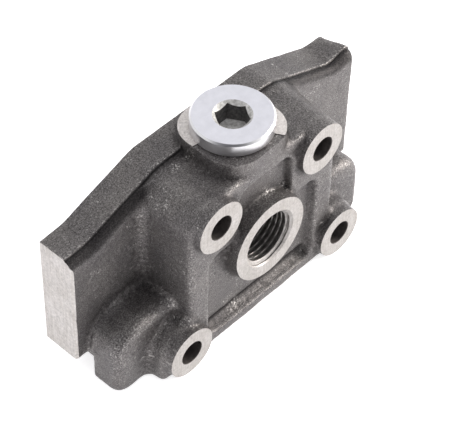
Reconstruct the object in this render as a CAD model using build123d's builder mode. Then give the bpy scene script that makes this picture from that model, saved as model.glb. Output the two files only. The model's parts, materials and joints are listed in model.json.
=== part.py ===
"""Outlet section of a sectional directional control valve.

A grey-iron casting with a rear mating flange, four tie-rod holes, a threaded front port and a
threaded top port that is closed by a collar screw plug with a captive seal.

Frame: millimetres, +Z up. The origin is at the middle of the footprint, on the base plane.
The front faces -Y, the machined mating face is at the rear (+Y), and the flange runs along X.
"""
import os
from math import radians, tan

from build123d import *

# Overall form
section_length = 129.8
section_depth = 36.5

# Rear flange
flange_thickness = 14.0
flange_top_z = 69.8
flange_base_z = 12.7
flange_end_z = 58.2
flange_knee_inset = 10.1
flange_shoulder_x = 25.6
flange_knee_radius = 12.0
flange_front_round = 3.1
flange_end_round = 1.4

# Tie-rod holes, an upper and a lower pair, each with a spot-faced boss
tie_hole_diameter = 8.7
tie_boss_diameter = 18.7
tie_boss_draft = 4.0
tie_boss_margin = 0.5
upper_tie_spacing = 46.5
upper_tie_z = 60.3
lower_tie_spacing = 71.6
lower_tie_z = 10.0

# Central block
block_top_z = 69.4
block_face_setback = 2.7
block_side_draft = 5.5
block_edge_round = 2.0
block_base_round = 3.0

# Side lobes, which house the outer galleries
lobe_end_inset = 7.7
lobe_shoulder_radius = 11.0
lobe_crown_z = 27.3
lobe_face_setback = 9.4
lobe_front_round = 4.0

# Root fillets where the block, lugs, lobes and flange meet
root_fillet = 3.0
flange_root_fillet = 4.0

# Pocket in the front face, stepped in around the upper bosses
pocket_depth = 2.6
pocket_draft = 20.0
pocket_half_width = 24.5
pocket_base_z = 6.5
pocket_step_z = 43.5
pocket_neck_half_width = 11.5
pocket_top_z = 64.0
pocket_corner_radius = 4.0

# Front port
port_z = 36.2
port_boss_diameter = 31.2
port_boss_draft = 8.0

# Pipe thread of both ports, G 1/2: the tapped bore, the pitch line and the lead-in
thread_minor_diameter = 18.63
thread_pitch_diameter = 19.79
thread_lead_in_diameter = 21.8
port_thread_depth = 17.0
top_thread_depth = 16.5

# Top port and its spot face, on a boss with a rounded square outline
top_port_setback = 17.8
seat_z = 75.2
seat_corner_radius = 10.5

# Flow passages
outlet_passage_diameter = 14.0
top_passage_diameter = 11.0
gallery_inset = 9.6
gallery_z = 16.0
gallery_diameter = 10.0
gallery_depth = 23.5
cross_passage_diameter = 8.0
cross_passage_z = 21.2

# O-ring seats of the mating face
seal_seat_depth = 1.8
seal_seat_width = 2.4

# Screw plug
plug_collar_diameter = 27.0
plug_collar_height = 5.0
plug_collar_chamfer = 0.6
plug_thread_length = 14.0
plug_thread_chamfer = 1.0
plug_thread_clearance = 0.02
socket_across_flats = 10.0
socket_depth = 7.5
socket_countersink_diameter = 12.8

# Captive seal under the plug's collar
seal_inner_diameter = 18.5
seal_outer_diameter = 23.9
seal_height = 1.5

half_length = section_length / 2
flange_knee_x = half_length - flange_knee_inset
lobe_outer_x = half_length - lobe_end_inset
lobe_shoulder_x = lobe_outer_x - lobe_shoulder_radius
gallery_x = lobe_outer_x - gallery_inset
rear_y = section_depth / 2
front_y = -rear_y
flange_front_y = rear_y - flange_thickness
block_face_y = front_y + block_face_setback
lobe_face_y = front_y + lobe_face_setback
pocket_floor_y = block_face_y + pocket_depth
top_port_y = front_y + top_port_setback
tie_boss_radius = tie_boss_diameter / 2
boss_run = pocket_floor_y - front_y
corner_radius = tie_boss_radius + boss_run * tan(radians(tie_boss_draft)) + tie_boss_margin
block_half_width = upper_tie_spacing / 2 + corner_radius
block_spread = (flange_front_y - block_face_y) * tan(radians(block_side_draft))
lug_crown_z = lower_tie_z + corner_radius
lug_outer_x = lower_tie_spacing / 2 + corner_radius
tolerance = 0.05


def wall_plane(y):
    """Sketch plane at depth y that looks out of the front: local x is X and local y is Z."""
    return Plane.XZ.offset(-y)


def tie_points():
    """The four tie-rod axes as points of a wall plane, the upper pair first."""
    upper = [(side * upper_tie_spacing / 2, upper_tie_z) for side in (-1, 1)]
    lower = [(side * lower_tie_spacing / 2, lower_tie_z) for side in (-1, 1)]
    return upper + lower


def gallery_points():
    """The axes of the two outer galleries as points of a wall plane."""
    return [(side * gallery_x, gallery_z) for side in (-1, 1)]


def block_outline(half_width):
    """The central block's section: square at the base, round over the upper tie bosses."""
    with BuildSketch() as outline:
        with Locations((0, block_top_z / 2)):
            Rectangle(2 * half_width, block_top_z)
        fillet(outline.vertices().group_by(Axis.Y)[-1], corner_radius)
    return outline.sketch


def lug_outline(side):
    """A lower lug's section: flat on the base plane and round over its tie boss."""
    centre_x = side * lower_tie_spacing / 2
    left, right = centre_x - corner_radius, centre_x + corner_radius
    with BuildSketch() as outline:
        with BuildLine():
            Polyline((left, lower_tie_z), (left, 0), (right, 0), (right, lower_tie_z))
            ThreePointArc((right, lower_tie_z), (centre_x, lug_crown_z), (left, lower_tie_z))
        make_face()
    return outline.sketch


def lobe_outline(side):
    """A side lobe's section: a quarter-round shoulder that runs flat into the block."""
    radius = lobe_outer_x - lobe_shoulder_x
    corner = (side * lobe_outer_x, lobe_crown_z - radius)
    shoulder = (side * lobe_shoulder_x, lobe_crown_z)
    with BuildSketch() as outline:
        with BuildLine():
            Polyline(shoulder, (0, lobe_crown_z), (0, 0), (side * lobe_outer_x, 0), corner)
            RadiusArc(corner, shoulder, -side * radius)
        make_face()
    return outline.sketch


def pocket_outline():
    """The front pocket: wide between the lugs and narrow between the upper tie bosses."""
    with BuildSketch() as outline:
        with BuildLine():
            Polyline(
                (0, pocket_base_z), (pocket_half_width, pocket_base_z),
                (pocket_half_width, pocket_step_z), (pocket_neck_half_width, pocket_step_z),
                (pocket_neck_half_width, pocket_top_z), (0, pocket_top_z),
            )
            mirror(about=Plane.YZ)
        make_face()
        fillet(outline.vertices().filter_by(lambda v: abs(v.X) > 1), pocket_corner_radius)
    return outline.sketch


def is_lobe_root(edge):
    """Concave edges where a lobe or a lug meets the block's side wall, or a lobe meets a lug."""
    spot = edge.center()
    before_flange = block_face_y + tolerance < spot.Y < flange_front_y - tolerance
    on_wall = abs(abs(spot.X) - block_half_width) < block_spread
    above_lug = lug_crown_z - 1 < spot.Z < lobe_crown_z + tolerance
    on_lobe_face = abs(spot.Y - lobe_face_y) < tolerance
    around_lug = lower_tie_spacing / 2 < abs(spot.X) < lug_outer_x + tolerance
    beside_lug = on_lobe_face and around_lug and tolerance < spot.Z < lug_crown_z
    return before_flange and (on_wall and above_lug or beside_lug)


def is_face_rim(edge):
    """The outer edges of the block's front face, above the base and below the top port's boss."""
    spot = edge.center()
    on_face = abs(spot.Y - block_face_y) < tolerance
    return on_face and block_base_round + tolerance < spot.Z < block_top_z + tolerance


def is_flange_root(edge):
    """Concave edges where the block's sides and the lobes meet the flange's front."""
    spot = edge.center()
    on_flange_front = abs(spot.Y - flange_front_y) < tolerance
    beside_block = block_half_width < abs(spot.X) < lobe_outer_x + tolerance
    below_ramp = flange_base_z + tolerance < spot.Z < flange_end_z - root_fillet
    return on_flange_front and beside_block and below_ramp


# Rear flange: one profile, rounded along its upper front edge as cast
with BuildPart() as flange:
    with BuildSketch(wall_plane(rear_y)):
        with BuildLine():
            Polyline(
                (-half_length, flange_base_z), (half_length, flange_base_z),
                (half_length, flange_end_z), (flange_knee_x, flange_end_z),
                (flange_shoulder_x, flange_top_z), (-flange_shoulder_x, flange_top_z),
                (-flange_knee_x, flange_end_z), (-half_length, flange_end_z), close=True,
            )
        make_face()
        knees = vertices().filter_by(lambda v: abs(v.X) < half_length - tolerance)
        fillet(knees, flange_knee_radius)
    extrude(amount=flange_thickness)
    cast_end = edges().filter_by(Axis.Z).group_by(Axis.X)[-1].sort_by(Axis.Y)[0]
    fillet(cast_end, flange_end_round)
    front_rim = faces().sort_by(Axis.Y)[0].edges()
    fillet(front_rim.filter_by(lambda e: e.center().Z > flange_end_z - 1), flange_front_round)

# Side lobes, rounded along their front edges
with BuildPart() as lobes:
    with BuildSketch(wall_plane(rear_y)):
        for side in (-1, 1):
            add(lobe_outline(side))
    extrude(amount=section_depth - lobe_face_setback)
    lobe_rim = faces().sort_by(Axis.Y)[0].edges()
    fillet(lobe_rim.filter_by(lambda e: e.center().Z > tolerance), lobe_front_round)

# Casting
with BuildPart() as body:
    # Central block, drafted towards its face and let into the flange's rounded edge
    with BuildSketch(wall_plane(flange_front_y)):
        add(block_outline(block_half_width + block_spread))
    with BuildSketch(wall_plane(block_face_y)):
        add(block_outline(block_half_width))
    loft()
    extrude(faces().sort_by(Axis.Y)[-1], amount=flange_front_round)

    # Lugs and lobes, which reach back to the mating face and close the block's foot
    with BuildSketch(wall_plane(rear_y)):
        for side in (-1, 1):
            add(lug_outline(side))
    extrude(amount=section_depth - block_face_setback)
    add(lobes.part)
    fillet(edges().filter_by(is_lobe_root), root_fillet)

    # Boss of the top port, flush with the block's face
    seat_boss_width = 2 * (top_port_setback - block_face_setback)
    with BuildSketch(Plane.XY.offset(seat_z)):
        with Locations((0, top_port_y)):
            RectangleRounded(seat_boss_width, seat_boss_width, seat_corner_radius)
    extrude(amount=-top_thread_depth)

    # Rounded rim of the front face, larger along the base
    base_rim = edges().filter_by(Axis.X).filter_by(lambda e: abs(e.center().Z) < tolerance)
    fillet(base_rim.sort_by(Axis.Y)[0], block_base_round)
    fillet(edges().filter_by(is_face_rim), block_edge_round)

    # Flange
    add(flange.part)
    fillet(edges().filter_by(is_flange_root), flange_root_fillet)

    # Front pocket, with the port boss and the tie bosses standing up from its floor
    with BuildSketch(wall_plane(pocket_floor_y)):
        add(pocket_outline())
    extrude(amount=pocket_depth + block_edge_round, taper=-pocket_draft, mode=Mode.SUBTRACT)
    with BuildSketch(wall_plane(front_y)):
        with Locations(*tie_points()):
            Circle(tie_boss_radius)
    extrude(amount=-boss_run, taper=-tie_boss_draft)
    with BuildSketch(wall_plane(front_y)):
        with Locations((0, port_z)):
            Circle(port_boss_diameter / 2)
    extrude(amount=-boss_run, taper=-port_boss_draft)

    # Tie-rod holes
    with BuildSketch(wall_plane(front_y)):
        with Locations(*tie_points()):
            Circle(tie_hole_diameter / 2)
    extrude(amount=-section_depth, mode=Mode.SUBTRACT)

    # Front port, with its passage through to the mating face
    with BuildSketch(wall_plane(front_y)):
        with Locations((0, port_z)):
            Circle(thread_minor_diameter / 2)
    extrude(amount=-port_thread_depth, mode=Mode.SUBTRACT)
    with BuildSketch(wall_plane(rear_y)):
        with Locations((0, port_z)):
            Circle(outlet_passage_diameter / 2)
    extrude(amount=section_depth - port_thread_depth / 2, mode=Mode.SUBTRACT)

    # Top port, with its passage down to the cross passage
    with BuildSketch(Plane.XY.offset(seat_z)):
        with Locations((0, top_port_y)):
            Circle(thread_pitch_diameter / 2)
    extrude(amount=-top_thread_depth, mode=Mode.SUBTRACT)
    with BuildSketch(Plane.XY.offset(cross_passage_z)):
        with Locations((0, top_port_y)):
            Circle(top_passage_diameter / 2)
    extrude(amount=seat_z - cross_passage_z - top_thread_depth / 2, mode=Mode.SUBTRACT)

    # Outer galleries and the passage that joins them
    with BuildSketch(wall_plane(rear_y)):
        with Locations(*gallery_points()):
            Circle(gallery_diameter / 2)
    extrude(amount=gallery_depth, mode=Mode.SUBTRACT)
    with BuildSketch(Plane.YZ.offset(-gallery_x)):
        with Locations((top_port_y, cross_passage_z)):
            Circle(cross_passage_diameter / 2)
    extrude(amount=2 * gallery_x, mode=Mode.SUBTRACT)

    # O-ring seats round the three mouths of the mating face
    with BuildSketch(wall_plane(rear_y)):
        with Locations(*gallery_points()):
            Circle(gallery_diameter / 2 + seal_seat_width)
        with Locations((0, port_z)):
            Circle(outlet_passage_diameter / 2 + seal_seat_width)
    extrude(amount=seal_seat_depth, mode=Mode.SUBTRACT)

    # Lead-in chamfers of the two tapped bores
    front_lead_in = (thread_lead_in_diameter - thread_minor_diameter) / 2
    with BuildSketch(wall_plane(front_y)):
        with Locations((0, port_z)):
            Circle(thread_lead_in_diameter / 2)
    extrude(amount=-front_lead_in, taper=45, mode=Mode.SUBTRACT)
    top_lead_in = (thread_lead_in_diameter - thread_pitch_diameter) / 2
    with BuildSketch(Plane.XY.offset(seat_z)):
        with Locations((0, top_port_y)):
            Circle(thread_lead_in_diameter / 2)
    extrude(amount=-top_lead_in, taper=45, mode=Mode.SUBTRACT)

# Screw plug: a turned collar with a hexagon socket and a plain shank at the pitch line
with BuildPart() as screw_plug:
    collar_top_z = seat_z + plug_collar_height
    shank_radius = thread_pitch_diameter / 2 - plug_thread_clearance
    with BuildSketch(Plane.XY.offset(collar_top_z)):
        with Locations((0, top_port_y)):
            Circle(plug_collar_diameter / 2)
    extrude(amount=-plug_collar_height)
    chamfer(edges().group_by(Axis.Z)[-1], plug_collar_chamfer)
    with BuildSketch(Plane.XY.offset(seat_z)):
        with Locations((0, top_port_y)):
            Circle(shank_radius)
    extrude(amount=-plug_thread_length)
    chamfer(edges().group_by(Axis.Z)[0], plug_thread_chamfer)
    with BuildSketch(Plane.XY.offset(seat_z)):
        with Locations((0, top_port_y)):
            Circle(seal_outer_diameter / 2)
            Circle(seal_inner_diameter / 2, mode=Mode.SUBTRACT)
    extrude(amount=seal_height, mode=Mode.SUBTRACT)
    with BuildSketch(Plane.XY.offset(collar_top_z)):
        with Locations((0, top_port_y)):
            RegularPolygon(socket_across_flats / 2, 6, major_radius=False)
    extrude(amount=-socket_depth, mode=Mode.SUBTRACT)
    with BuildSketch(Plane.XY.offset(collar_top_z)):
        with Locations((0, top_port_y)):
            Circle(socket_countersink_diameter / 2)
    sink_depth = (socket_countersink_diameter - socket_across_flats) / 2
    extrude(amount=-sink_depth, taper=45, mode=Mode.SUBTRACT)

# Captive seal, level with the collar's underside
with BuildPart() as plug_seal:
    with BuildSketch(Plane.XY.offset(seat_z)):
        with Locations((0, top_port_y)):
            Circle(seal_outer_diameter / 2)
            Circle(seal_inner_diameter / 2, mode=Mode.SUBTRACT)
    extrude(amount=seal_height)

body.part.label = "body"
screw_plug.part.label = "screw_plug"
plug_seal.part.label = "plug_seal"

os.makedirs("parts", exist_ok=True)
export_step(body.part, "parts/body.step")
export_step(screw_plug.part, "parts/screw_plug.step")
export_step(plug_seal.part, "parts/plug_seal.step")
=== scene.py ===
import json
from math import atan2, cos, exp, hypot, pi, radians, sin

import bmesh
import bpy
from mathutils import Matrix, Vector, kdtree, noise


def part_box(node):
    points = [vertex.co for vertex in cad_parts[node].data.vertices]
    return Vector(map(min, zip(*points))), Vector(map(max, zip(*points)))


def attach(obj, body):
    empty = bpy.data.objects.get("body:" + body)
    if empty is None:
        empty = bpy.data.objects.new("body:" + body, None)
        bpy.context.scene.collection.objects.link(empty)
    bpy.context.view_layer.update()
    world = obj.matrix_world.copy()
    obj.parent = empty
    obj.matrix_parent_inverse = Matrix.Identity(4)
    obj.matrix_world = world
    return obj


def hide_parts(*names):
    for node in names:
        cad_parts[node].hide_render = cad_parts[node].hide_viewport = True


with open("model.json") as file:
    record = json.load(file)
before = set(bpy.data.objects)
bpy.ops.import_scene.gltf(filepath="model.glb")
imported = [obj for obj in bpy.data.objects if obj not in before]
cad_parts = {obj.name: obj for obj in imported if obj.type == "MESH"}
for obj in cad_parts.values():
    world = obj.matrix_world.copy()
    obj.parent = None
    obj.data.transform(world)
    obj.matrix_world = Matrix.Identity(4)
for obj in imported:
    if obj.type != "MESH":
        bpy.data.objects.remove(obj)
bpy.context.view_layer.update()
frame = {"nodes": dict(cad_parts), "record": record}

mm = 0.001
record = frame["record"]
mounts = {mount["name"]: mount for mount in record["mounts"]}


def makeObject(name, mesh):
    obj = bpy.data.objects.new(name, mesh)
    bpy.context.scene.collection.objects.link(obj)
    return obj


def bmeshToMesh(bm, name):
    mesh = bpy.data.meshes.new(name)
    bm.to_mesh(mesh)
    bm.free()
    return mesh


def applyModifiers(obj):
    # swaps the object's mesh for the one its modifiers make
    graph = bpy.context.evaluated_depsgraph_get()
    finished = bpy.data.meshes.new_from_object(obj.evaluated_get(graph))
    oldMesh = obj.data
    obj.modifiers.clear()
    obj.data = finished
    bpy.data.meshes.remove(oldMesh)
    return obj


def smoothShade(mesh, sharpAngle):
    mesh.polygons.foreach_set("use_smooth", [True] * len(mesh.polygons))
    mesh.set_sharp_from_angle(angle=radians(sharpAngle))


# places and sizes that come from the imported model
bodyLow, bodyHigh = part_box("body")
plugLow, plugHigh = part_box("screw_plug")
portRadius = mounts["outlet_port"]["dims"]["r_mm"] * mm
portCentre = Vector(mounts["outlet_port"]["pos_m"])
frontY, rearY = bodyLow.y, bodyHigh.y
leftX, rightX = bodyLow.x, bodyHigh.x
seatZ = bodyHigh.z
topPortY = (plugLow.y + plugHigh.y) / 2
collarRadius = (plugHigh.x - plugLow.x) / 2

tiePoints = []
for row in ("upper_tie_holes", "lower_tie_holes"):
    halfSpacing = mounts[row]["dims"]["spacing_x_mm"] * mm / 2
    tiePoints += [(side * halfSpacing, mounts[row]["pos_m"][2]) for side in (-1, 1)]
tieRadius = mounts["upper_tie_holes"]["dims"]["hole_r_mm"] * mm

pipeThread = {
    "majorRadius": 20.955 * mm / 2,
    "minorRadius": 18.631 * mm / 2,
    "pitch": 1.814 * mm,
    "leadInRadius": 10.9 * mm,
    "portDepth": 17 * mm,
    "topDepth": 16.5 * mm,
    "segments": 96,
    "stepsPerTurn": 8,
    "fineSegments": 128,  # for the port that is open to view
    "fineStepsPerTurn": 16,
}

casting = {
    "voxel": 0.62 * mm,
    "allowance": 1.2 * mm,  # extra iron on each face that is machined
    "fillMargin": 0.4 * mm,
    "smoothRounds": 5,
    "waveHeight": 0.14 * mm,
    "waveLength": 9 * mm,
    "sandHeight": 0.09 * mm,
    "sandLength": 1.2 * mm,
    "crownLift": 0.5 * mm,  # how far the flange's top edge stands above its drawing
    "rampLift": 1.0 * mm,
    "rampX": 50 * mm,
    "rampSpread": 14 * mm,
    "endLift": 2.0 * mm,  # the right end of the ramp rises towards the seam
    "lobeReach": 2.3 * mm,  # the left lobe's end stands further out in front of the flange
    "pocketHalfWidth": 24.5 * mm,
    "grooveZ": 9 * mm,
    "grooveSpread": 1.7 * mm,
    "grooveDepth": 1.3 * mm,
    "seamY": 7.35 * mm,
    "seamStep": 0.55 * mm,  # the rear half of the mould stands this much proud
    "seamWidth": 0.5 * mm,
    "seamFade": 6 * mm,
    # width of the band of painted shade in front of the parting seam
    "seamShadeWidth": 4 * mm,
    "footX": 45 * mm,  # round underside of each lobe behind the flange's front
    "footZ": 14 * mm,
    "footRadius": 14 * mm,
    "flangeBaseZ": 12.7 * mm,
    "edgeRounds": 5,  # smoothing that shows the worn edges and the narrow creases that get painted shade
    "hollowRounds": 28,  # smoothing that shows the hollows
    "endChamfer": 0.8 * mm,
    "flangeFrontY": 4.25 * mm,
    "outletRadius": 7 * mm,
    "topPassageRadius": 5.5 * mm,
    "crossRadius": 4 * mm,
    "crossZ": 21.2 * mm,
    "galleryX": 47.6 * mm,
    "galleryZ": 16 * mm,
    "galleryRadius": 5 * mm,
    "galleryDepth": 23.5 * mm,
    "ringSeatWidth": 2.4 * mm,
    "ringSeatDepth": 1.8 * mm,
    "tieChamfer": 0.2 * mm,
    # the wedge of the pad kept below the seat as painted shade in front of the collar
    "padShadeStart": radians(-190),
    "padShadeEnd": radians(-60),
    "padShadeStep": 0.25 * mm,
}


def addRod(bm, start, end, radius, endRadius=None, segments=64, spin=0):
    # a closed rod or cone between two points
    start, end = Vector(start), Vector(end)
    run = end - start
    turn = run.to_track_quat("Z", "Y").to_matrix().to_4x4() @ Matrix.Rotation(spin, 4, "Z")
    place = Matrix.Translation((start + end) / 2) @ turn
    bmesh.ops.create_cone(
        bm, cap_ends=True, cap_tris=False, segments=segments,
        radius1=radius, radius2=radius if endRadius is None else endRadius,
        depth=run.length, matrix=place,
    )


def addBlock(bm, low, high):
    low, high = Vector(low), Vector(high)
    place = Matrix.Translation((low + high) / 2) @ Matrix.Diagonal(high - low).to_4x4()
    bmesh.ops.create_cube(bm, size=1, matrix=place)


def threadRadius(angle, depth, minor, major):
    # rounded 55 degree form: the height over one pitch is close to a cosine
    phase = (depth / pipeThread["pitch"] - angle / (2 * pi)) % 1
    wave = 0.5 + 0.5 * cos(2 * pi * phase)
    flank = min(1, max(0, (wave - 0.5) * 1.25 + 0.5))
    return minor + (major - minor) * flank


def threadedRod(origin, axis, length, minor, major, leadIn, runOut, tip=0.0, fine=False):
    # a threaded rod that starts at origin: used as a tap and as the plug's shank
    stepsPerTurn = pipeThread["fineStepsPerTurn" if fine else "stepsPerTurn"]
    steps = round(length / pipeThread["pitch"] * stepsPerTurn)
    bm = bmesh.new()
    chain = [bm.verts.new((0, 0, 0))]
    chain += [bm.verts.new((major, 0, -length * k / steps)) for k in range(steps + 1)]
    chain.append(bm.verts.new((0, 0, -length)))
    edges = [bm.edges.new(pair) for pair in zip(chain, chain[1:])]
    bmesh.ops.spin(
        bm, geom=chain + edges, cent=(0, 0, 0), axis=(0, 0, 1), angle=2 * pi,
        steps=pipeThread["fineSegments" if fine else "segments"], use_merge=True, use_duplicate=False,
    )
    bmesh.ops.remove_doubles(bm, verts=bm.verts, dist=1e-6)
    for vert in bm.verts:
        reach = hypot(vert.co.x, vert.co.y)
        if reach < major / 2:
            continue
        depth = -vert.co.z
        radius = threadRadius(atan2(vert.co.y, vert.co.x), depth, minor, major)
        if leadIn > 0:
            radius = max(radius, leadIn - depth)
        if tip > 0:
            radius = min(radius, minor + (length - depth) * 0.9)
        if runOut > 0 and depth > length - runOut:
            radius = min(radius, minor)
        vert.co.x *= radius / reach
        vert.co.y *= radius / reach
    bmesh.ops.recalc_face_normals(bm, faces=bm.faces)
    turn = Vector(axis).to_track_quat("Z", "Y").to_matrix().to_4x4()
    bmesh.ops.transform(bm, matrix=Matrix.Translation(origin) @ turn, verts=bm.verts)
    return bm


def galleryPoints():
    return [(side * casting["galleryX"], casting["galleryZ"]) for side in (-1, 1)]


def cutWith(obj, cutterBmesh, name, operation="DIFFERENCE"):
    cutter = makeObject(name, bmeshToMesh(cutterBmesh, name))
    boolean = obj.modifiers.new(name, "BOOLEAN")
    boolean.operation = operation
    boolean.solver = "MANIFOLD"
    boolean.object = cutter
    applyModifiers(obj)
    bpy.data.objects.remove(cutter)


def rawCasting():
    # the casting as it leaves the mould: no bores, extra iron on the machined faces
    bm = bmesh.new()
    bm.from_mesh(frame["nodes"]["body"].data)
    bmesh.ops.remove_doubles(bm, verts=bm.verts, dist=1e-6)
    extra, margin = casting["allowance"], casting["fillMargin"]
    for vert in bm.verts:
        if abs(vert.co.y - frontY) < 1e-5:
            vert.co.y -= extra
        if abs(vert.co.y - rearY) < 1e-5:
            vert.co.y += extra
        if abs(vert.co.x - leftX) < 1e-5:
            vert.co.x -= extra
        if abs(vert.co.z - seatZ) < 1e-5:
            vert.co.z += extra
    front, rear = frontY - extra, rearY + extra
    for x, z in tiePoints:
        addRod(bm, (x, front, z), (x, rear, z), tieRadius + margin)
    portFill = pipeThread["leadInRadius"] + margin
    addRod(bm, (0, front, portCentre.z), (0, rear, portCentre.z), portFill)
    addRod(bm, (0, topPortY, seatZ + extra), (0, topPortY, casting["crossZ"] - 6 * mm), portFill)
    crossEnd = casting["galleryX"]
    crossPlace = (topPortY, casting["crossZ"])
    addRod(bm, (-crossEnd, *crossPlace), (crossEnd, *crossPlace), casting["crossRadius"] + margin)
    galleryFill = casting["galleryRadius"] + casting["ringSeatWidth"] + margin
    for x, z in galleryPoints():
        addRod(bm, (x, rear, z), (x, rearY - casting["galleryDepth"] - margin, z), galleryFill)
    obj = makeObject("castBody", bmeshToMesh(bm, "castBody"))
    remesh = obj.modifiers.new("sand mould", "REMESH")
    remesh.mode = "VOXEL"
    remesh.voxel_size = casting["voxel"]
    return applyModifiers(obj)


def ease(value, start, end):
    # 0 before start, 1 past end, smooth between
    share = min(1, max(0, (value - start) / (end - start)))
    return share * share * (3 - 2 * share)


def castShift(spot):
    # how this casting differs from its drawing: a fuller ramp and a longer left lobe
    shift = Vector()
    high = ease(spot.z, 46 * mm, 56 * mm) * ease(spot.y, 3 * mm, 7 * mm)
    offRamp = (-spot.x - casting["rampX"]) / casting["rampSpread"]
    shift.z = high * (casting["crownLift"] + casting["rampLift"] * exp(-offRamp ** 2))
    rightEnd = ease(spot.x, 54 * mm, 65 * mm) * ease(rearY - spot.y, 0, 11 * mm)
    shift.z += high * rightEnd * casting["endLift"]
    shift.x = high * rightEnd * casting["endLift"] / 2
    low = 1 - ease(spot.z, 24 * mm, 30 * mm)
    ahead = 1 - ease(spot.y, 2 * mm, 5 * mm)
    shift.x -= casting["lobeReach"] * low * ahead * ease(-spot.x, 48 * mm, 57 * mm)
    # the pocket is deepest along its lower edge
    inPocket = ease(casting["pocketHalfWidth"] - abs(spot.x), 0, 3 * mm)
    inPocket *= 1 - ease(spot.y, casting["flangeFrontY"] - 8 * mm, casting["flangeFrontY"] - 6 * mm)
    offGroove = (spot.z - casting["grooveZ"]) / casting["grooveSpread"]
    shift.y = casting["grooveDepth"] * inPocket * exp(-offGroove ** 2)
    return shift


def seamShape(spot, normal):
    # the step at the parting seam, and the painted shade on the skin in front of it, darker where that skin
    # faces the front
    ahead = casting["seamY"] - spot.y
    outward = max(0, normal.z) + (max(0, normal.x) if spot.x > 60 * mm else 0)
    drop = ease(ahead, -casting["seamWidth"] / 2, casting["seamWidth"] / 2)
    drop *= max(0, 1 - ahead / casting["seamFade"])
    if ahead < 0:
        return outward * drop, 0
    # painted shade: stronger where the skin turns to face the front, and right at the seam
    turning = min(1, max(0, -normal.y * 2.5))
    paintedShade = turning * max(0, 1 - (ahead / casting["seamShadeWidth"]) ** 2)
    paintedShade = max(paintedShade, exp(-0.5 * ahead / casting["seamWidth"]))
    return outward * drop, min(1, outward * 3) * paintedShade


def roughen(obj):
    # softens the edges, then gives the skin its waviness, sand grain and parting seam
    bm = bmesh.new()
    bm.from_mesh(obj.data)
    for _ in range(casting["smoothRounds"]):
        bmesh.ops.smooth_vert(
            bm, verts=bm.verts, factor=0.5, use_axis_x=True, use_axis_y=True, use_axis_z=True
        )
    bm.normal_update()
    shifts, seams = [], []
    for vert in bm.verts:
        wave = noise.noise(vert.co / casting["waveLength"]) * casting["waveHeight"]
        sand = noise.noise(vert.co / casting["sandLength"]) * casting["sandHeight"]
        step, paintedShade = seamShape(vert.co, vert.normal)
        proud = wave + sand - casting["seamStep"] * step
        shifts.append(vert.normal * proud + castShift(vert.co))
        seams.append(paintedShade)
    for vert, shift in zip(bm.verts, shifts):
        vert.co += shift
    bm.to_mesh(obj.data)
    # how far each point lies in a hollow (above 0) or out on an edge (below 0)
    bm.normal_update()
    places = [vert.co.copy() for vert in bm.verts]
    directions = [vert.normal.copy() for vert in bm.verts]
    reliefs = []
    done = 0
    for rounds in (casting["edgeRounds"], casting["hollowRounds"]):
        for _ in range(rounds - done):
            bmesh.ops.smooth_vert(
                bm, verts=bm.verts, factor=0.5, use_axis_x=True, use_axis_y=True, use_axis_z=True
            )
        done = rounds
        reliefs.append([
            (vert.co - place).dot(direction) / mm
            for vert, place, direction in zip(bm.verts, places, directions)
        ])
    bm.free()
    return places, list(zip(*reliefs, seams))


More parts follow.
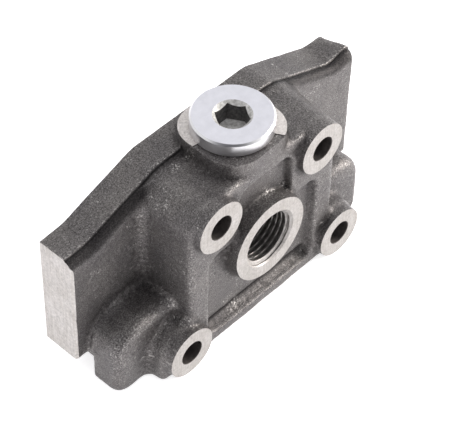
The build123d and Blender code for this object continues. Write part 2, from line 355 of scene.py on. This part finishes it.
def machine(obj):
    far = 200 * mm
    bm = bmesh.new()
    addBlock(bm, (-far, frontY - far, -far), (far, frontY, far))
    cutWith(obj, bm, "frontMill")
    bm = bmesh.new()
    addBlock(bm, (-far, rearY, -far), (far, rearY + far, far))
    cutWith(obj, bm, "rearMill")
    bm = bmesh.new()
    addBlock(bm, (leftX - far, -far, -far), (leftX, far, far))
    cutWith(obj, bm, "endMill")
    bm = bmesh.new()
    addBlock(bm, (-far, -far, seatZ), (far, far, seatZ + far))
    cutWith(obj, bm, "seatMill")
    # the pad's front is cut a little below the seat, so it keeps the dark cast skin as painted shade in front
    # of the collar
    bm = bmesh.new()
    corners = [(0, topPortY)]
    for angle in (casting["padShadeStart"], casting["padShadeEnd"]):
        corners.append((cos(angle) * far, topPortY + sin(angle) * far))
    wedge = bm.faces.new([bm.verts.new((x, y, seatZ - casting["padShadeStep"])) for x, y in corners])
    raised = bmesh.ops.extrude_face_region(bm, geom=[wedge])["geom"]
    lifted = [piece for piece in raised if isinstance(piece, bmesh.types.BMVert)]
    bmesh.ops.translate(bm, verts=lifted, vec=(0, 0, far))
    bmesh.ops.recalc_face_normals(bm, faces=bm.faces)
    cutWith(obj, bm, "rawPad")
    # behind the flange's front the lobes have a round underside
    for side in (-1, 1):
        outer = sorted((side * casting["footX"], side * far))
        bm = bmesh.new()
        addBlock(bm, (outer[0], casting["flangeFrontY"], -far), (outer[1], far, casting["flangeBaseZ"]))
        hollow = makeObject("lobeUnderside", bmeshToMesh(bm, "lobeUnderside"))
        bm = bmesh.new()
        x, z = side * casting["footX"], casting["footZ"]
        addRod(bm, (x, -far, z), (x, 2 * far, z), casting["footRadius"], segments=128)
        cutWith(hollow, bm, "lobeRound")
        bm = bmesh.new()
        bm.from_mesh(hollow.data)
        bpy.data.objects.remove(hollow)
        cutWith(obj, bm, "lobeUnderside")
    # the long edge of the milled end, broken with a file
    bm = bmesh.new()
    bmesh.ops.create_cube(bm, size=1)
    width = casting["endChamfer"] * 2 ** 0.5
    bmesh.ops.scale(bm, vec=(width, width, 1), verts=bm.verts)
    bmesh.ops.rotate(bm, matrix=Matrix.Rotation(radians(45), 3, "Z"), verts=bm.verts)
    bmesh.ops.translate(bm, vec=(leftX, casting["flangeFrontY"], 0), verts=bm.verts)
    cutWith(obj, bm, "edgeFile")
    past = 5 * mm
    for x, z in tiePoints:
        bm = bmesh.new()
        addRod(bm, (x, frontY - past, z), (x, rearY + past, z), tieRadius)
        cutWith(obj, bm, "tieDrill")
        bm = bmesh.new()
        wide, deep = tieRadius + casting["tieChamfer"], casting["tieChamfer"]
        addRod(bm, (x, frontY - past, z), (x, frontY + deep, z), wide + past, tieRadius)
        cutWith(obj, bm, "tieSink")
    galleryStart = rearY + past
    for x, z in galleryPoints():
        bm = bmesh.new()
        addRod(bm, (x, galleryStart, z), (x, rearY - casting["galleryDepth"], z), casting["galleryRadius"])
        cutWith(obj, bm, "galleryDrill")
        bm = bmesh.new()
        seatRadius = casting["galleryRadius"] + casting["ringSeatWidth"]
        addRod(bm, (x, galleryStart, z), (x, rearY - casting["ringSeatDepth"], z), seatRadius)
        cutWith(obj, bm, "ringSeat")
    bm = bmesh.new()
    z = portCentre.z
    addRod(bm, (0, galleryStart, z), (0, frontY + pipeThread["portDepth"] / 2, z), casting["outletRadius"])
    cutWith(obj, bm, "outletDrill")
    bm = bmesh.new()
    seatRadius = casting["outletRadius"] + casting["ringSeatWidth"]
    addRod(bm, (0, galleryStart, z), (0, rearY - casting["ringSeatDepth"], z), seatRadius)
    cutWith(obj, bm, "ringSeat")
    bm = bmesh.new()
    addRod(bm, (0, topPortY, seatZ - pipeThread["topDepth"] / 2), (0, topPortY, casting["crossZ"]), casting["topPassageRadius"])
    cutWith(obj, bm, "topDrill")
    bm = bmesh.new()
    crossPlace = (topPortY, casting["crossZ"])
    addRod(bm, (-casting["galleryX"], *crossPlace), (casting["galleryX"], *crossPlace), casting["crossRadius"])
    cutWith(obj, bm, "crossDrill")
    start = 0.5 * mm  # the taps start a little outside the faces
    for name, origin, axis, depth in (
        ("portTap", (0, frontY - start, z), (0, -1, 0), pipeThread["portDepth"]),
        ("topTap", (0, topPortY, seatZ + start), (0, 0, 1), pipeThread["topDepth"]),
    ):
        tap = threadedRod(
            origin, axis, depth + start, pipeThread["minorRadius"], pipeThread["majorRadius"],
            pipeThread["leadInRadius"] + start, 1.5 * mm, fine=name == "portTap",
        )
        cutWith(obj, tap, name)


def storeReliefs(obj, places, reliefs):
    # carries the skin's hollows, edges and seam band over to the machined mesh, for the painted shade and the
    # worn edges
    tree = kdtree.KDTree(len(places))
    for index, place in enumerate(places):
        tree.insert(place, index)
    tree.balance()
    nearest = [tree.find(vert.co)[1] for vert in obj.data.vertices]
    for column, name in enumerate(("edge", "hollow", "seam")):
        layer = obj.data.attributes.new(name, "FLOAT", "POINT")
        layer.data.foreach_set("value", [reliefs[index][column] for index in nearest])
        values = sorted(relief[column] for relief in reliefs)
        print(name, [round(values[int(len(values) * k)], 3) for k in (0.01, 0.1, 0.5, 0.9, 0.99)])


print("casting")
body = rawCasting()
print("cast skin", len(body.data.polygons))
skinPlaces, skinReliefs = roughen(body)
machine(body)
storeReliefs(body, skinPlaces, skinReliefs)
print("machined", len(body.data.polygons))

plug = {
    "collarHeight": 5 * mm,
    "collarChamfer": 0.6 * mm,
    "socketAcross": 10 * mm,
    "socketDepth": 7.5 * mm,
    "sinkRadius": 6.4 * mm,
    "shankClearance": 0.12 * mm,
    "sealInner": 9.25 * mm,
    "sealOuter": 11.95 * mm,
    "sealHeight": 1.5 * mm,
    "edgeRound": 0.15 * mm,
}


def buildPlug():
    # collar by spinning its section, then the shank, the seal groove and the key socket
    topZ = plugHigh.z
    collarZ = topZ - plug["collarHeight"]
    chamfer = plug["collarChamfer"]
    section = [
        (0, topZ), (collarRadius - chamfer, topZ), (collarRadius, topZ - chamfer),
        (collarRadius, collarZ + 0.3 * mm), (collarRadius - 0.3 * mm, collarZ), (0, collarZ),
    ]
    bm = bmesh.new()
    chain = [bm.verts.new((reach, 0, z)) for reach, z in section]
    edges = [bm.edges.new(pair) for pair in zip(chain, chain[1:])]
    bmesh.ops.spin(
        bm, geom=chain + edges, cent=(0, 0, 0), axis=(0, 0, 1), angle=2 * pi,
        steps=160, use_merge=True, use_duplicate=False,
    )
    bmesh.ops.remove_doubles(bm, verts=bm.verts, dist=1e-6)
    bmesh.ops.recalc_face_normals(bm, faces=bm.faces)
    bmesh.ops.translate(bm, verts=bm.verts, vec=(0, topPortY, 0))
    obj = makeObject("screwPlug", bmeshToMesh(bm, "screwPlug"))
    overlap = 2.5 * mm
    shank = threadedRod(
        (0, topPortY, collarZ + overlap), (0, 0, 1), collarZ - plugLow.z + overlap,
        pipeThread["minorRadius"] - plug["shankClearance"],
        pipeThread["majorRadius"] - plug["shankClearance"], 0, 0, tip=1,
    )
    groove = bmesh.new()
    addRod(groove, (0, topPortY, collarZ - 1 * mm), (0, topPortY, collarZ + plug["sealHeight"]),
           plug["sealOuter"], segments=128)
    cutWith(obj, groove, "sealGroove")
    cutWith(obj, shank, "threadedShank", "UNION")
    socket = bmesh.new()
    corner = plug["socketAcross"] / 2 / cos(radians(30))
    addRod(socket, (0, topPortY, topZ + 1 * mm), (0, topPortY, topZ - plug["socketDepth"]), corner,
           segments=6, spin=radians(30))
    cutWith(obj, socket, "keySocket")
    sink = bmesh.new()
    rise = 1 * mm
    sinkDepth = plug["sinkRadius"] - plug["socketAcross"] / 2
    addRod(sink, (0, topPortY, topZ + rise), (0, topPortY, topZ - sinkDepth),
           plug["sinkRadius"] + rise, plug["socketAcross"] / 2, segments=128)
    cutWith(obj, sink, "socketSink")
    return obj


print("plug")
screwPlug = buildPlug()
print("plug faces", len(screwPlug.data.polygons))


# finishes


class Shading:
    # short hand for building a material's nodes
    def __init__(self, name):
        self.material = bpy.data.materials.new(name)
        self.material.use_nodes = True
        self.tree = self.material.node_tree
        self.shader = self.tree.nodes["Principled BSDF"]
        self.place = self.node("ShaderNodeTexCoord").outputs["Object"]

    def node(self, kind, **settings):
        made = self.tree.nodes.new(kind)
        for key, value in settings.items():
            setattr(made, key, value)
        return made

    def link(self, source, target):
        self.tree.links.new(source, target)

    def noise(self, scale, detail=2.0, roughness=0.5, stretch=(1, 1, 1)):
        mapping = self.node("ShaderNodeMapping")
        mapping.inputs["Scale"].default_value = stretch
        self.link(self.place, mapping.inputs["Vector"])
        made = self.node("ShaderNodeTexNoise")
        made.inputs["Scale"].default_value = scale
        made.inputs["Detail"].default_value = detail
        made.inputs["Roughness"].default_value = roughness
        self.link(mapping.outputs["Vector"], made.inputs["Vector"])
        return made.outputs["Fac"]

    def ramp(self, value, stops):
        made = self.node("ShaderNodeValToRGB")
        ramp = made.color_ramp
        while len(ramp.elements) < len(stops):
            ramp.elements.new(0.5)
        for element, (place, colour) in zip(ramp.elements, stops):
            element.position = place
            element.color = (*colour, 1)
        self.link(value, made.inputs["Fac"])
        return made.outputs["Color"]

    def bump(self, height, strength, distance, under=None):
        made = self.node("ShaderNodeBump")
        made.inputs["Strength"].default_value = strength
        made.inputs["Distance"].default_value = distance
        self.link(height, made.inputs["Height"])
        if under is not None:
            self.link(under, made.inputs["Normal"])
        return made.outputs["Normal"]

    def attribute(self, name):
        return self.node("ShaderNodeAttribute", attribute_name=name).outputs["Fac"]

    def math(self, operation, *values):
        made = self.node("ShaderNodeMath", operation=operation)
        for socket, value in zip(made.inputs, values):
            if isinstance(value, (int, float)):
                socket.default_value = value
            else:
                self.link(value, socket)
        return made.outputs["Value"]

    def clamp(self, value):
        made = self.node("ShaderNodeClamp")
        self.link(value, made.inputs["Value"])
        return made.outputs["Result"]

    def mixBy(self, factor, first, colour):
        made = self.node("ShaderNodeMix", data_type="RGBA")
        self.link(factor, made.inputs[0])
        self.link(first, made.inputs[6])
        made.inputs[7].default_value = colour
        return made.outputs[2]

    def mix(self, first, second, factor, blend="MIX"):
        made = self.node("ShaderNodeMix", data_type="RGBA", blend_type=blend)
        made.inputs[0].default_value = factor
        self.link(first, made.inputs[6])
        self.link(second, made.inputs[7])
        return made.outputs[2]


def castIron():
    look = Shading("castIron")
    grain = look.noise(2300, 3, 0.7)
    colour = look.ramp(grain, [
        (0.30, (0.045, 0.041, 0.040)), (0.48, (0.136, 0.127, 0.123)),
        (0.60, (0.215, 0.204, 0.197)), (0.76, (0.46, 0.445, 0.435)),
    ])
    cloud = look.ramp(look.noise(70, 4, 0.6), [(0.3, (0.74, 0.74, 0.77)), (0.7, (1, 1, 1))])
    colour = look.mix(colour, cloud, 1, "MULTIPLY")
    # painted shade in the hollows, and painted shade in a band in front of the parting seam
    paintedShade = look.ramp(look.attribute("hollow"), [
        (0.0, (1, 1, 1)), (0.2, (0.96, 0.96, 0.96)), (0.7, (0.62, 0.62, 0.62)),
    ])
    colour = look.mix(colour, paintedShade, 1, "MULTIPLY")
    # painted shade in narrow creases
    creaseShade = look.ramp(look.attribute("edge"), [
        (0.015, (1, 1, 1)), (0.06, (0.62, 0.61, 0.61)), (0.14, (0.30, 0.29, 0.29)),
    ])
    colour = look.mix(colour, creaseShade, 1, "MULTIPLY")
    # painted shade: a dark band on the round in front of the parting seam
    seam = look.ramp(look.attribute("seam"), [(0.0, (1, 1, 1)), (0.6, (0.22, 0.215, 0.22))])
    colour = look.mix(colour, seam, 1, "MULTIPLY")
    # bright grains: dense on worn edges, and a few scuffs anywhere
    sharpness = look.math("ADD", look.math("MULTIPLY", look.attribute("edge"), -2.4),
                          look.math("MULTIPLY", look.attribute("hollow"), -0.9))
    scuffs = look.clamp(look.math("MULTIPLY_ADD", look.noise(130, 5, 0.75), 10.0, -5.7))
    wear = look.clamp(look.math("MAXIMUM", sharpness, scuffs))
    sparkle = look.clamp(look.math("MULTIPLY_ADD", look.noise(1700, 2, 0.6), 8.0, -4.2))
    clean = look.clamp(look.math("MULTIPLY_ADD", look.attribute("seam"), -4.0, 1.0))
    # the foot of the block is smooth
    height = look.node("ShaderNodeSeparateXYZ")
    look.link(look.place, height.inputs["Vector"])
    raised = look.clamp(look.math("MULTIPLY_ADD", height.outputs["Z"], 250.0, -0.9))
    clean = look.math("MULTIPLY", clean, raised)
    worn = look.math("MULTIPLY", look.math("MULTIPLY", wear, sparkle), clean)
    colour = look.mixBy(worn, colour, (0.60, 0.58, 0.56, 1))
    look.link(colour, look.shader.inputs["Base Color"])
    look.shader.inputs["Metallic"].default_value = 0.75
    look.shader.inputs["Roughness"].default_value = 0.42
    coarse = look.bump(look.noise(700, 4, 0.65), 0.6, 0.3 * mm)
    fine = look.bump(grain, 0.9, 0.14 * mm, coarse)
    look.link(fine, look.shader.inputs["Normal"])
    return look.material


def milledIron(name, level):
    look = Shading(name)
    mottle = look.noise(1100, 4, 0.7)
    warm = Vector((1, 0.965, 0.935))
    colour = look.ramp(mottle, [
        (place, tuple(warm * level * share))
        for place, share in ((0.26, 0.56), (0.42, 0.90), (0.58, 1.04), (0.76, 1.34))
    ])
    cloud = look.ramp(look.noise(160, 3, 0.6), [(0.3, (0.84, 0.83, 0.81)), (0.7, (1, 1, 1))])
    colour = look.mix(colour, cloud, 1, "MULTIPLY")
    brushed = look.ramp(look.noise(1900, 2, 0.6, (1, 1, 0.06)), [(0.35, (0.86, 0.85, 0.84)), (0.6, (1, 1, 1))])
    colour = look.mix(colour, brushed, 1, "MULTIPLY")
    look.link(colour, look.shader.inputs["Base Color"])
    look.shader.inputs["Metallic"].default_value = 0.35
    look.shader.inputs["Roughness"].default_value = 0.45
    streaks = look.noise(1600, 2, 0.5, (1, 1, 0.1))
    look.link(look.bump(streaks, 0.5, 0.06 * mm), look.shader.inputs["Normal"])
    return look.material


def boredIron():
    look = Shading("boredIron")
    mottle = look.noise(600, 3, 0.6)
    colour = look.ramp(mottle, [(0.3, (0.17, 0.16, 0.155)), (0.7, (0.30, 0.29, 0.28))])
    look.link(colour, look.shader.inputs["Base Color"])
    look.shader.inputs["Metallic"].default_value = 0.85
    look.shader.inputs["Roughness"].default_value = 0.33
    return look.material


def tieHolePaintedShade():
    # painted shade: the tie holes' walls are coloured near black for the shade inside them
    look = Shading("tieHolePaintedShade")
    colour = look.ramp(look.noise(500, 3, 0.6), [(0.3, (0.035, 0.030, 0.028)), (0.7, (0.085, 0.075, 0.070))])
    look.link(colour, look.shader.inputs["Base Color"])
    look.shader.inputs["Metallic"].default_value = 0.4
    look.shader.inputs["Roughness"].default_value = 0.6
    return look.material


def zincSteel(name, tint, roughness, ringHeight):
    look = Shading(name)
    centred = look.node("ShaderNodeMapping")
    centred.inputs["Location"].default_value = (0, -topPortY, 0)
    look.link(look.place, centred.inputs["Vector"])
    flat = look.node("ShaderNodeVectorMath", operation="MULTIPLY")
    flat.inputs[1].default_value = (1, 1, 0)
    look.link(centred.outputs["Vector"], flat.inputs[0])
    reach = look.node("ShaderNodeVectorMath", operation="LENGTH")
    look.link(flat.outputs["Vector"], reach.inputs[0])
    rings = look.node("ShaderNodeTexNoise", noise_dimensions="1D")
    rings.inputs["Scale"].default_value = 5200
    rings.inputs["Detail"].default_value = 2
    look.link(reach.outputs["Value"], rings.inputs["W"])
    dark = tuple(channel * 0.9 for channel in tint)
    colour = look.ramp(look.noise(300, 3, 0.6), [(0.3, dark), (0.7, tint)])
    look.link(colour, look.shader.inputs["Base Color"])
    look.shader.inputs["Metallic"].default_value = 1.0
    look.shader.inputs["Roughness"].default_value = roughness
    look.link(look.bump(rings.outputs["Fac"], ringHeight, 0.03 * mm), look.shader.inputs["Normal"])
    return look.material


def socketWallPaintedShade():
    # painted shade: the socket walls are coloured dark for the shade inside the socket
    look = Shading("socketWallPaintedShade")
    colour = look.ramp(look.noise(900, 3, 0.65), [(0.35, (0.07, 0.07, 0.07)), (0.65, (0.17, 0.165, 0.16))])
    look.link(colour, look.shader.inputs["Base Color"])
    look.shader.inputs["Metallic"].default_value = 0.6
    look.shader.inputs["Roughness"].default_value = 0.5
    return look.material


def socketFloor():
    # painted light: the socket floor is coloured lighter than its walls; the countersink shares this grey
    look = Shading("socketFloor")
    colour = look.ramp(look.noise(700, 4, 0.7), [(0.35, (0.34, 0.34, 0.32)), (0.65, (0.72, 0.72, 0.70))])
    look.link(colour, look.shader.inputs["Base Color"])
    look.shader.inputs["Metallic"].default_value = 0.2
    look.shader.inputs["Roughness"].default_value = 0.5
    return look.material


def sealRubber():
    look = Shading("sealRubber")
    look.shader.inputs["Base Color"].default_value = (0.02, 0.02, 0.02, 1)
    look.shader.inputs["Roughness"].default_value = 0.6
    return look.material


def nearRod(spot, axisPoint, along, radius):
    # is this spot on the wall of a round bore with that axis
    gap = spot - Vector(axisPoint)
    gap[along] = 0
    return abs(gap.length - radius) < 0.02 * radius


def sortFinishes(obj):
    # milled planes, bored walls and the cast skin, told apart by place and direction
    mesh = obj.data
    mesh.materials.clear()
    # one milled finish at two levels: darker on the front and rear faces and the lead-in, lighter on the left
    # end, its filed edge and the seat; the difference is painted light and shade
    finishes = (
        castIron(), milledIron("milledIron", 0.52), boredIron(), tieHolePaintedShade(),
        milledIron("milledIronPaintedLight", 0.71),
    )
    for finish in finishes:
        mesh.materials.append(finish)
    planes = [(1, frontY), (1, rearY), (0, leftX), (2, seatZ)]
    bores = [((x, 0, z), 1, tieRadius) for x, z in tiePoints]
    bores += [((x, 0, z), 1, casting["galleryRadius"]) for x, z in galleryPoints()]
    bores += [((0, 0, portCentre.z), 1, casting["outletRadius"])]
    for face in mesh.polygons:
        spot = face.center
        finish = 0
        for axis, place in planes:
            if abs(spot[axis] - place) < 0.004 * mm and abs(face.normal[axis]) > 0.99:
                finish = 1 if axis == 1 else 4
        portReach = hypot(spot.x, spot.z - portCentre.z)
        inPort = portReach < pipeThread["leadInRadius"] + 0.05 * mm
        if inPort and spot.y < frontY + 1.6 * mm and face.normal.y < -0.5 and portReach > portRadius:
            finish = 1  # the lead-in is cut as bright as the face
        onFiledEdge = spot.x < leftX + casting["endChamfer"] and face.normal.x < -0.4 and face.normal.y < -0.4
        if onFiledEdge and abs(abs(face.normal.x) - abs(face.normal.y)) < 0.05:
            finish = 4
        inTop = hypot(spot.x, spot.y - topPortY) < pipeThread["leadInRadius"] + 0.05 * mm
        inTie = any(hypot(spot.x - x, spot.z - z) < tieRadius + casting["tieChamfer"] + 0.05 * mm
                    for x, z in tiePoints)
        if finish == 0 and (inPort or inTop and spot.z > 15 * mm):
            finish = 2
        if finish == 0 and inTie:
            finish = 3
        if finish == 0 and any(nearRod(spot, *bore) for bore in bores):
            finish = 2
        face.material_index = finish
    smoothShade(mesh, 40)


sortFinishes(body)
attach(body, "root")
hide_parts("body")

def sortPlugFinishes(obj):
    # turned face, polished rim, and the key socket with painted shade on its walls and painted light on its
    # floor
    mesh = obj.data
    mesh.materials.clear()
    mesh.materials.append(zincSteel("turnedZinc", (0.76, 0.76, 0.82), 0.3, 0.25))
    mesh.materials.append(zincSteel("polishedZinc", (0.74, 0.74, 0.76), 0.3, 0))
    mesh.materials.append(socketWallPaintedShade())
    mesh.materials.append(socketFloor())
    socketReach = plug["socketAcross"] / 2 / cos(radians(30)) + 0.02 * mm
    for face in mesh.polygons:
        spot, slope = face.center, face.normal.z
        reach = hypot(spot.x, spot.y - topPortY)
        face.material_index = 0
        if reach > plug["sinkRadius"] and slope < 0.95:
            face.material_index = 1
        if reach < socketReach and spot.z < plugHigh.z - 0.2 * mm and spot.z > plugLow.z + 1 * mm:
            face.material_index = 2
            if slope > 0.9:
                face.material_index = 3
        if reach < plug["sinkRadius"] + 0.01 * mm and 0.3 < slope < 0.95:
            face.material_index = 3
    smoothShade(mesh, 30)


sortPlugFinishes(screwPlug)
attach(screwPlug, "root")
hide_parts("screw_plug")

seal = frame["nodes"]["plug_seal"]
seal.data.materials.clear()
seal.data.materials.append(sealRubber())
print("finishes")

studio = {
    "floorSize": 6.0,
    "floorColour": (0.90, 0.90, 0.90, 1),
    "floorGlow": 0.66,
    "skyTop": (1.22, 1.19, 1.23),
    "skyRim": (0.24, 0.24, 0.24),
    "darkSide": (-0.493, -0.445, 0.748),  # the unlit side of the room, which polished metal shows
    "darkStart": 0.70,
    "darkFull": 0.93,
    "darkColour": (0.10, 0.10, 0.11),
    "keyPower": 15.5,
    "keyColour": (1.0, 0.95, 0.90),
    "keySide": 58,  # degrees from the front towards +X
    "keyHeight": 18,
    "keyDistance": 1.3,
    "keySize": 0.5,
}


def seenMask(tree):
    # 1 for what the camera and the polished metal see, 0 for plain lighting
    path = tree.nodes.new("ShaderNodeLightPath")
    either = tree.nodes.new("ShaderNodeMath")
    either.operation = "ADD"
    either.use_clamp = True
    tree.links.new(path.outputs["Is Camera Ray"], either.inputs[0])
    tree.links.new(path.outputs["Is Glossy Ray"], either.inputs[1])
    both = tree.nodes.new("ShaderNodeMath")
    both.operation = "ADD"
    both.use_clamp = True
    tree.links.new(either.outputs[0], both.inputs[0])
    tree.links.new(path.outputs["Is Transmission Ray"], both.inputs[1])
    return both.outputs[0]


def buildFloor():
    bm = bmesh.new()
    bmesh.ops.create_grid(bm, x_segments=1, y_segments=1, size=studio["floorSize"] / 2)
    floor = makeObject("floor", bmeshToMesh(bm, "floor"))
    paper = bpy.data.materials.new("paper")
    paper.use_nodes = True
    tree = paper.node_tree
    shader = tree.nodes["Principled BSDF"]
    shader.inputs["Base Color"].default_value = studio["floorColour"]
    shader.inputs["Roughness"].default_value = 0.9
    shader.inputs["Specular IOR Level"].default_value = 0.1
    shader.inputs["Emission Color"].default_value = (1, 1, 1, 1)
    glow = tree.nodes.new("ShaderNodeMath")
    glow.operation = "MULTIPLY"
    glow.inputs[1].default_value = studio["floorGlow"]
    tree.links.new(seenMask(tree), glow.inputs[0])
    tree.links.new(glow.outputs[0], shader.inputs["Emission Strength"])
    floor.data.materials.append(paper)


def buildWorld():
    # dim overhead and brighter round the rim, and plain white to the camera
    world = bpy.data.worlds.new("studio")
    world.use_nodes = True
    tree = world.node_tree
    light = tree.nodes["Background"]
    direction = tree.nodes.new("ShaderNodeTexCoord")
    split = tree.nodes.new("ShaderNodeSeparateXYZ")
    tree.links.new(direction.outputs["Generated"], split.inputs["Vector"])
    sky = tree.nodes.new("ShaderNodeValToRGB")
    sky.color_ramp.elements[0].position = 0.1
    sky.color_ramp.elements[0].color = (*studio["skyRim"], 1)
    sky.color_ramp.elements[1].position = 0.8
    sky.color_ramp.elements[1].color = (*studio["skyTop"], 1)
    tree.links.new(split.outputs["Z"], sky.inputs["Fac"])
    tree.links.new(sky.outputs["Color"], light.inputs["Color"])
    toDark = tree.nodes.new("ShaderNodeVectorMath")
    toDark.operation = "DOT_PRODUCT"
    toDark.inputs[1].default_value = studio["darkSide"]
    tree.links.new(direction.outputs["Generated"], toDark.inputs[0])
    dark = tree.nodes.new("ShaderNodeValToRGB")
    dark.color_ramp.elements[0].position = studio["darkStart"]
    dark.color_ramp.elements[0].color = (1, 1, 1, 1)
    dark.color_ramp.elements[1].position = studio["darkFull"]
    dark.color_ramp.elements[1].color = (*studio["darkColour"], 1)
    tree.links.new(toDark.outputs["Value"], dark.inputs["Fac"])
    seen = tree.nodes.new("ShaderNodeBackground")
    tree.links.new(dark.outputs["Color"], seen.inputs["Color"])
    mix = tree.nodes.new("ShaderNodeMixShader")
    tree.links.new(seenMask(tree), mix.inputs["Fac"])
    tree.links.new(light.outputs["Background"], mix.inputs[1])
    tree.links.new(seen.outputs["Background"], mix.inputs[2])
    tree.links.new(mix.outputs["Shader"], tree.nodes["World Output"].inputs["Surface"])
    bpy.context.scene.world = world


def addLamp(name, place, target, size, power, colour):
    lamp = bpy.data.lights.new(name, "AREA")
    lamp.size = size
    lamp.energy = power
    lamp.color = colour
    obj = bpy.data.objects.new(name, lamp)
    obj.location = place
    obj.rotation_euler = (Vector(place) - Vector(target)).to_track_quat("Z", "Y").to_euler()
    bpy.context.scene.collection.objects.link(obj)


def buildCamera():
    # fitted to the circles and edges of the photograph
    view = {
        "right": (0.6859, -0.7274, 0.0194),
        "up": (0.5352, 0.5224, 0.6639),
        "back": (-0.4931, -0.4450, 0.7476),
        "place": (-313.8 * mm, -283.8 * mm, 508.1 * mm),
        "lens": 153.26,
    }
    camera = bpy.data.cameras.new("camera")
    camera.sensor_width = 36
    camera.lens = view["lens"]
    camera.clip_start = 0.01
    camera.clip_end = 20
    obj = bpy.data.objects.new("camera", camera)
    turn = Matrix((view["right"], view["up"], view["back"])).transposed()
    obj.matrix_world = Matrix.Translation(view["place"]) @ turn.to_4x4()
    bpy.context.scene.collection.objects.link(obj)
    bpy.context.scene.camera = obj


buildFloor()
buildWorld()
centre = Vector((0, 0, 35 * mm))
keySide, keyHeight = radians(studio["keySide"]), radians(studio["keyHeight"])
keyPlace = centre + studio["keyDistance"] * Vector((
    sin(keySide) * cos(keyHeight), -cos(keySide) * cos(keyHeight), sin(keyHeight)
))
addLamp("key", keyPlace, centre, studio["keySize"], studio["keyPower"], studio["keyColour"])
buildCamera()
bpy.context.scene.view_settings.view_transform = "Standard"
print("studio")
